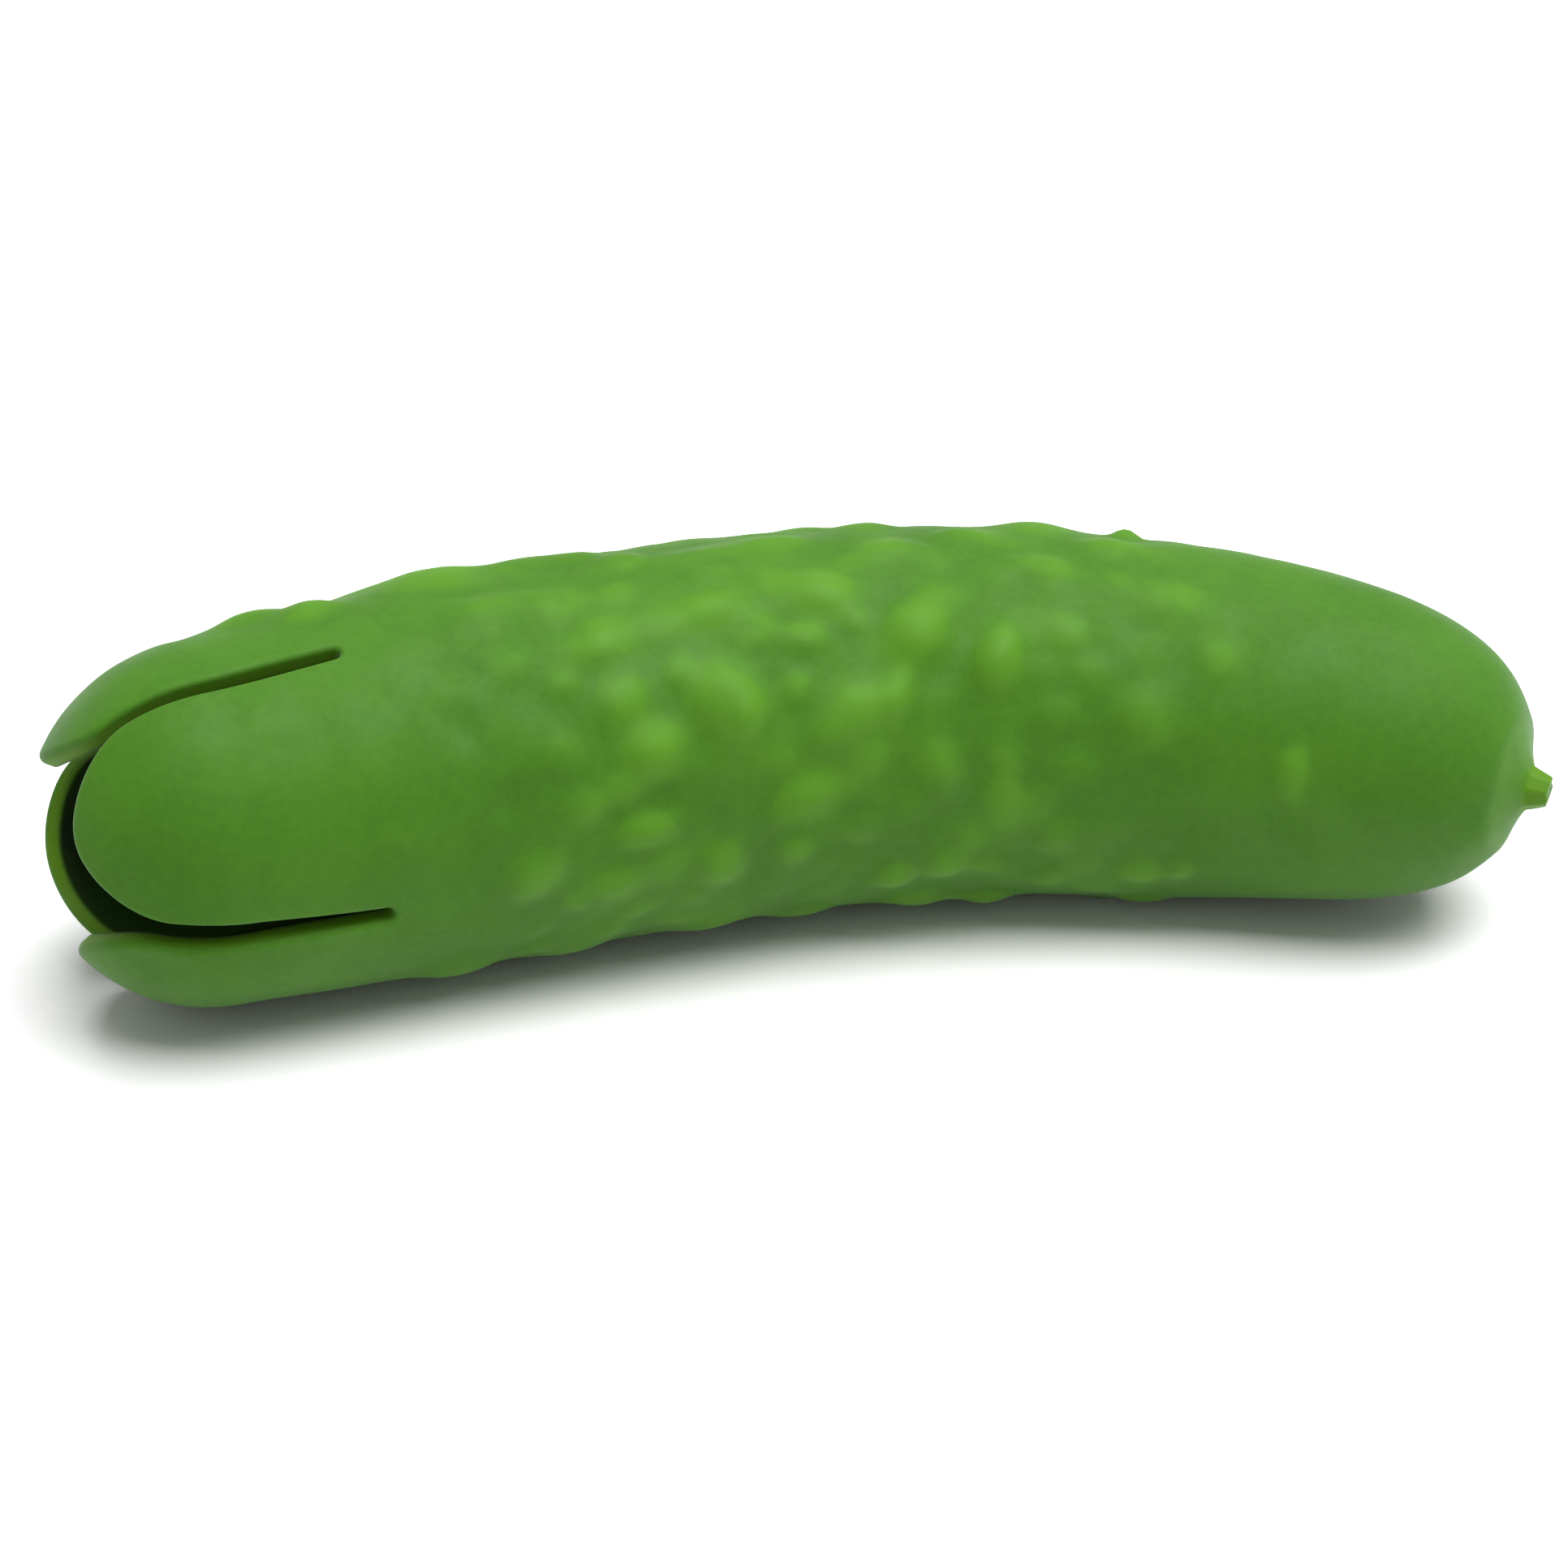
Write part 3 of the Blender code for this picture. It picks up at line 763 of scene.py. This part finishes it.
@dataclass
class Sleeve:
    """The whole moulded sleeve: skin, petals, lining and stub.

    Attributes:
        wall: Thickness of the silicone.
        profile: Turned outline of the skin.
        bend: Line of the axis.
        mouth: Petals and slots.
        relief: Warts and dents.
        stub: Moulding stub.
        finish: Finish of the silicone.
        row_spacing: Distance between the skin's rings.
        lining_spacing: Distance between the lining's rings.
        hollow_end: Radius at which the hollow is closed.
        relief_start: Reaches between which the relief grows from none to full.
    """

    wall: float = 2.6
    profile: SkinProfile = field(default_factory=SkinProfile)
    bend: Bend = field(default_factory=Bend)
    mouth: Mouth = field(default_factory=Mouth)
    relief: Relief = field(default_factory=Relief)
    stub: Stub = field(default_factory=Stub)
    finish: SiliconeFinish = field(default_factory=SiliconeFinish)
    row_spacing: float = 0.75
    lining_spacing: float = 2.5
    hollow_end: float = 1.2
    relief_start: Pair = (8.0, 26.0)

    def locate(self, reach: Array, angles: Array, depth: Array) -> tuple[Array, Array]:
        """Positions and shading values of points in the wall.

        Args:
            reach: Distances along the skin from the pole.
            angles: Places round the axis.
            depth: Distances in from the skin.

        Returns:
            The positions and the (relief, depth) pairs.
        """
        reach, angles, depth = np.broadcast_arrays(reach, angles, depth)
        station, radius = self.profile.at(reach, np.zeros(reach.shape))
        share = 1 - np.clip(depth / self.wall, 0.0, 1.0)
        near_skin = share > 0.0
        rise = np.zeros(reach.shape)
        if near_skin.any():
            rise[near_skin] = self.relief.height(station[near_skin], angles[near_skin],
                                                 radius[near_skin])
        fade = ramp(*self.relief_start, reach)
        station, radius = self.profile.at(reach, rise * share * fade - depth)
        points = self.bend.place(station, np.maximum(radius, 0.0), angles)
        points[..., 2] = np.maximum(points[..., 2], 0.0)
        return points, np.stack([rise * fade, 1 - share], axis=-1)

    def insets(self, layer: Layer) -> Pair:
        """How far a face of the wall stops short of a petal's tip and of its sides."""
        if layer is Layer.SKIN:
            return self.mouth.tip_rounding, self.mouth.edge_rounding
        return self.mouth.lining_rounding, self.mouth.lining_rounding

    def tip_points(self, petal: int, q: Array, t: Array, tip_inset: float,
                   side_inset: float) -> tuple[Array, Array, Array]:
        """Points of a petal's rounded end, a square grid drawn out to half an ellipse.

        Args:
            petal: Number of the petal.
            q: Places across the petal, -1 to 1.
            t: Places towards the tip, 0 to 1.
            tip_inset: Distance by which the tip is drawn in.
            side_inset: Distance by which the sides are drawn in.

        Returns:
            Reach, angle and the share of the way to the tip.
        """
        across = q * np.sqrt(1 - 0.5 * t * t)
        towards = t * np.sqrt(1 - 0.5 * q * q)
        rounding = self.mouth.petal_roundings[petal]
        reach = self.mouth.petal_tips[petal] + rounding - (rounding - tip_inset) * towards
        half = self.mouth.half_angle(petal, reach, side_inset, self.profile)
        return reach, self.mouth.middle_angle(petal, reach) + across * half, towards

    def side_points(self, petal: int, q: Array, reach: Array, side_inset: float) -> tuple[Array, Array]:
        """Reach and angle of points on a petal's straight stretch."""
        half = self.mouth.half_angle(petal, reach, side_inset, self.profile)
        return reach, self.mouth.middle_angle(petal, reach) + q * half

    def root_points(self, slot: int, alpha: Array, inset: float) -> tuple[Array, Array]:
        """Reach and angle of points round a slot's closed end, alpha from -90 to 90."""
        radius = self.profile.radius_at(np.array(self.mouth.straight_root))
        bow = self.mouth.slot_half_width + inset
        reach = self.mouth.straight_root + bow * np.cos(np.radians(alpha))
        return reach, self.mouth.slot_angles[slot] + np.degrees(bow * np.sin(np.radians(alpha)) / radius)

    def petal_rows(self, petal: int) -> Array:
        """Reaches of the rows along a petal's straight stretch."""
        start = self.mouth.petal_tips[petal] + self.mouth.petal_roundings[petal]
        return np.linspace(start, self.mouth.straight_root, self.mouth.side_rows + 1)

    def join_rows(self) -> Array:
        """Reaches of the rows between the slots' ends and the plain body."""
        return np.linspace(self.mouth.straight_root, self.mouth.join_reach, self.mouth.join_rows + 1)

    def add_petals(self, parts: MeshParts, layer: Layer) -> Array:
        """Add one face of the petals and of the joins round the slots' ends.

        Args:
            parts: The mesh under construction.
            layer: Which face of the wall is added.

        Returns:
            Angles of the columns round the ring where the plain body starts.
        """
        tip_inset, side_inset = self.insets(layer)
        depth = np.array(0.0 if layer is Layer.SKIN else self.wall)
        q = np.linspace(-1, 1, self.mouth.across + 1)
        alpha = np.linspace(-90, 90, self.mouth.root_columns + 1)
        ring: list[Array] = []
        for petal in range(len(self.mouth.slot_angles)):
            t = np.linspace(0, 1, self.mouth.round_rows + 1)[:, None]
            reach, angle, _ = self.tip_points(petal, q[None, :], t, tip_inset, side_inset)
            parts.add_grid(*self.locate(reach, angle, depth))
            rows = self.petal_rows(petal)[:, None]
            reach, angle = self.side_points(petal, q[None, :], rows, side_inset)
            parts.add_grid(*self.locate(reach, angle, depth))
            root_angle = angle[-1]
            reach = np.broadcast_to(self.join_rows()[:, None], (self.mouth.join_rows + 1, len(q)))
            parts.add_grid(*self.locate(reach, np.broadcast_to(root_angle, reach.shape), depth))
            slot = (petal + 1) % len(self.mouth.slot_angles)
            near_reach, near_angle = self.root_points(slot, alpha, side_inset)
            share = np.linspace(0, 1, self.mouth.join_rows + 1)[:, None]
            reach = near_reach + (self.mouth.join_reach - near_reach) * share
            parts.add_grid(*self.locate(reach, np.broadcast_to(near_angle, reach.shape), depth))
            turn = 360.0 if slot == 0 else 0.0
            ring.append(root_angle[:-1])
            ring.append(near_angle[:-1] + turn)
        return np.concatenate(ring)

    def add_rim(self, parts: MeshParts) -> None:
        """Add the rounded edge that runs round every petal and slot."""
        mouth = self.mouth
        q = np.linspace(-1, 1, mouth.across + 1)
        t = np.linspace(0, 1, mouth.round_rows + 1)
        alpha = np.linspace(-90, 90, mouth.root_columns + 1)
        rows = []
        for skin_share, lining_share, middle_share in self.rim_section():
            loop: list[tuple[Array, Array, Array]] = []
            tip_inset = skin_share[0] * mouth.tip_rounding + lining_share[0] * mouth.lining_rounding
            side_inset = skin_share[0] * mouth.edge_rounding + lining_share[0] * mouth.lining_rounding

            def note(reach: Array, angle: Array, towards: Array | float = 0.0) -> None:
                """Add a stretch of this line of the rim, the share of the way to the tip given."""
                rounding = mouth.edge_rounding + (mouth.tip_rounding - mouth.edge_rounding) * towards
                flat = self.wall - rounding - mouth.lining_rounding
                depth = (skin_share[1] * rounding + middle_share * flat
                         + lining_share[1] * mouth.lining_rounding)
                loop.append((reach, angle, np.broadcast_to(depth, reach.shape)))

            for petal in range(len(mouth.slot_angles)):
                side = self.petal_rows(petal)[::-1]
                note(*self.side_points(petal, np.array(-1.0), side[:-1], side_inset))
                for edge_q, edge_t in ((np.full(len(t) - 1, -1.0), t[:-1]), (q[:-1], np.ones(len(q) - 1)),
                                       (np.full(len(t) - 1, 1.0), t[::-1][:-1])):
                    note(*self.tip_points(petal, edge_q, edge_t, tip_inset, side_inset))
                note(*self.side_points(petal, np.array(1.0), side[::-1][:-1], side_inset))
                slot = (petal + 1) % len(mouth.slot_angles)
                note(*self.root_points(slot, alpha[:-1], side_inset))
            rows.append([np.concatenate(column) for column in zip(*loop)])
        reach, angle, depth = (np.stack(column) for column in zip(*rows))
        parts.add_grid(*self.locate(reach, angle, depth), wrap=True)

    @staticmethod
    def rim_section() -> list[tuple[Pair, Pair, float]]:
        """The rim's section from skin to lining.

        Returns:
            For each line: (inset, depth) shares of the outer rounding, the same of the inner
            rounding, and the share of the flat between them that lies above the line.
        """
        outer_steps, flat_shares, inner_steps = 6, (0.34, 0.67), 4
        section = []
        for step in range(outer_steps + 1):
            turn = 0.5 * math.pi * step / outer_steps
            section.append(((1 - math.sin(turn), 1 - math.cos(turn)), (0.0, 0.0), 0.0))
        section += [((0.0, 1.0), (0.0, 0.0), share) for share in flat_shares]
        for step in range(inner_steps + 1):
            turn = 0.5 * math.pi * step / inner_steps
            section.append(((0.0, 1.0), (1 - math.cos(turn), math.sin(turn)), 1.0))
        return section

    def add_body(self, parts: MeshParts, angles: Array) -> None:
        """Add the skin from the slots' ends to the stub, and the stub, in columns at angles."""
        stub = self.stub
        end = self.profile.station[-1]
        narrowing = self.profile.reach > self.mouth.join_reach + 0.5 * end
        last = np.interp(-stub.root_radius, -self.profile.radius[narrowing],
                         self.profile.reach[narrowing])
        count = int((last - self.mouth.join_reach) / self.row_spacing)
        rows = np.linspace(self.mouth.join_reach, last, count)
        points, values = self.locate(rows[:, None], angles[None, :], np.array(0.0))
        start, _ = self.profile.at(np.array(last), np.array(0.0))
        rings, shades = [points], [values]
        share = stub.facet_share(angles)
        height = np.sin(np.radians(angles))
        relief, depth = stub.shade
        for station, radius, facets in stub.outline(float(start), float(end)):
            reach = radius * (1 - facets + facets * share)
            towards_end = np.clip((station - end) / stub.length, 0.0, 1.0) ** 2
            place = station + stub.end_shift(reach * height) * towards_end
            rings.append(self.bend.place(place, reach, angles)[None])
            shades.append(np.stack([np.full(len(angles), relief), np.full(len(angles), depth * facets)],
                                   axis=-1)[None])
        points, values = np.concatenate(rings), np.concatenate(shades)
        first = parts.add_grid(points, values, wrap=True)
        ring_start = first + (points.shape[0] - 1) * len(angles)
        parts.add_cap(ring_start, len(angles), points[-1].mean(axis=0), stub.shade)

    def add_lining(self, parts: MeshParts, angles: Array) -> None:
        """Add the hollow's face from the slots' ends to its closed end."""
        reaches = self.profile.reach
        _, inner = self.profile.at(reaches, np.full(reaches.shape, -self.wall))
        last = reaches[inner > self.hollow_end].max()
        count = int((last - self.mouth.join_reach) / self.lining_spacing)
        rows = np.linspace(self.mouth.join_reach, last, count)
        points, values = self.locate(rows[:, None], angles[None, :], np.array(self.wall))
        first = parts.add_grid(points, values, wrap=True)
        ring_start = first + (points.shape[0] - 1) * len(angles)
        parts.add_cap(ring_start, len(angles), points[-1].mean(axis=0), (0.0, 1.0))

    def build(self) -> bpy.types.Object:
        """Build the sleeve, set it over the CAD solid and give it its finish."""
        parts = MeshParts()
        skin_ring = self.add_petals(parts, Layer.SKIN)
        lining_ring = self.add_petals(parts, Layer.LINING)
        self.add_rim(parts)
        self.add_body(parts, skin_ring)
        self.add_lining(parts, lining_ring)
        mesh = parts.mesh("silicone_sleeve", weld=WELD)
        sleeve = bpy.data.objects.new("silicone_sleeve", mesh)
        bpy.context.scene.collection.objects.link(sleeve)
        self.centre_on_node(mesh)
        mesh.shade_smooth()
        mesh.materials.append(self.finish.material())
        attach(sleeve, "root")
        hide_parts(SLEEVE_NODE)
        return sleeve

    @staticmethod
    def centre_on_node(mesh: bpy.types.Mesh) -> None:
        """Slide the mesh in plan so that its box is centred on the CAD node's."""
        low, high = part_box(SLEEVE_NODE)
        points = np.zeros(len(mesh.vertices) * 3)
        mesh.vertices.foreach_get("co", points)
        points = points.reshape(-1, 3)
        middle = 0.5 * (points.min(axis=0) + points.max(axis=0))
        shift = Vector((0.5 * (low.x + high.x) - middle[0], 0.5 * (low.y + high.y) - middle[1], 0.0))
        mesh.transform(Matrix.Translation(shift))


@dataclass(frozen=True)
class FloorFinish:
    """Plain pale studio floor.

    Attributes:
        colour: Its colour.
        roughness: Its roughness.
    """

    colour: Triple = (0.82, 0.82, 0.82)
    roughness: float = 0.85

    def material(self) -> bpy.types.Material:
        """Build the floor's material."""
        material = bpy.data.materials.new("studio_floor")
        material.use_nodes = True
        shader = material.node_tree.nodes["Principled BSDF"]
        shader.inputs["Base Color"].default_value = (*self.colour, 1.0)
        shader.inputs["Roughness"].default_value = self.roughness
        shader.inputs["Specular IOR Level"].default_value = 0.1
        return material


@dataclass
class Studio:
    """Floor, light and camera.

    Attributes:
        aim: Point that the camera looks at, in metres.
        elevation: Height of the camera above the horizon.
        azimuth: Turn of the camera's view from +Y towards +X.
        distance: Distance of the camera from its aim, in metres.
        lens: Focal length for the sensor's width.
        light_power: Power of the overhead light, in watts.
        light_size: Side of the overhead light, in metres.
        light_elevation: Height of the overhead light above the horizon on the camera's side;
            past 90 it stands behind the object.
        light_lean: Lean of the overhead light towards the stub's end.
        light_distance: Distance of the overhead light, in metres.
        light_target: Point that the light stands off from, in metres.
        ambient: Strength of the even light all round.
        floor_size: Side of the floor, in metres.
        floor_drop: How far the floor lies under the object, in metres.
        clip_start: Nearest distance that the camera sees, in metres.
        finish: Finish of the floor.
    """

    aim: Triple = (-0.0022, -0.0078, 0.023)
    elevation: float = 30.0
    azimuth: float = 5.0
    distance: float = 0.456
    lens: float = 86.1
    light_power: float = 90.0
    light_size: float = 2.0
    light_elevation: float = 88.0
    light_lean: float = 14.0
    light_distance: float = 2.0
    light_target: Triple = (0.0, 0.0, 0.02)
    ambient: float = 0.42
    floor_size: float = 6.0
    floor_drop: float = 0.0001
    clip_start: float = 0.01
    finish: FloorFinish = field(default_factory=FloorFinish)

    def direction(self, elevation: float) -> Vector:
        """Unit vector from the object towards the camera's side at an elevation."""
        rise, turn = math.radians(elevation), math.radians(self.azimuth)
        return Vector((-math.sin(turn) * math.cos(rise), -math.cos(turn) * math.cos(rise), math.sin(rise)))

    def add_floor(self) -> None:
        """Add the floor, wide enough to fill the view."""
        bpy.ops.mesh.primitive_plane_add(size=self.floor_size, location=(0.0, 0.0, -self.floor_drop))
        floor = bpy.context.active_object
        floor.name = "studio_floor"
        floor.data.materials.append(self.finish.material())

    def add_camera(self) -> None:
        """Add the camera and make it the scene's own."""
        data = bpy.data.cameras.new("camera")
        data.lens = self.lens
        data.sensor_width = SENSOR_WIDTH
        data.clip_start = self.clip_start
        camera = bpy.data.objects.new("camera", data)
        camera.location = Vector(self.aim) + self.direction(self.elevation) * self.distance
        camera.rotation_euler = (-self.direction(self.elevation)).to_track_quat("-Z", "Y").to_euler()
        bpy.context.scene.collection.objects.link(camera)
        bpy.context.scene.camera = camera

    def add_lights(self) -> None:
        """Add the wide overhead light and the even light all round."""
        data = bpy.data.lights.new("overhead_light", "AREA")
        data.shape = "SQUARE"
        data.size = self.light_size
        data.energy = self.light_power
        light = bpy.data.objects.new("overhead_light", data)
        sideways = Vector((math.tan(math.radians(self.light_lean)), 0.0, 0.0))
        away = (self.direction(self.light_elevation) + sideways).normalized()
        light.location = Vector(self.light_target) + away * self.light_distance
        light.rotation_euler = (-away).to_track_quat("-Z", "Y").to_euler()
        bpy.context.scene.collection.objects.link(light)
        world = bpy.data.worlds.new("studio")
        world.use_nodes = True
        background = world.node_tree.nodes["Background"]
        background.inputs["Color"].default_value = (1.0, 1.0, 1.0, 1.0)
        background.inputs["Strength"].default_value = self.ambient
        bpy.context.scene.world = world

    def build(self) -> None:
        """Set up the whole studio."""
        bpy.context.scene.view_settings.view_transform = "Standard"
        self.add_floor()
        self.add_camera()
        self.add_lights()


def main() -> None:
    """Build the sleeve and the studio, and report each piece."""
    logging.basicConfig(level=logging.INFO, format="%(name)s: %(message)s")
    sleeve = Sleeve().build()
    log.info("built %s, %s metres", sleeve.name, tuple(round(side, 4) for side in sleeve.dimensions))
    Studio().build()
    log.info("studio ready")


if __name__ == "__main__":
    main()
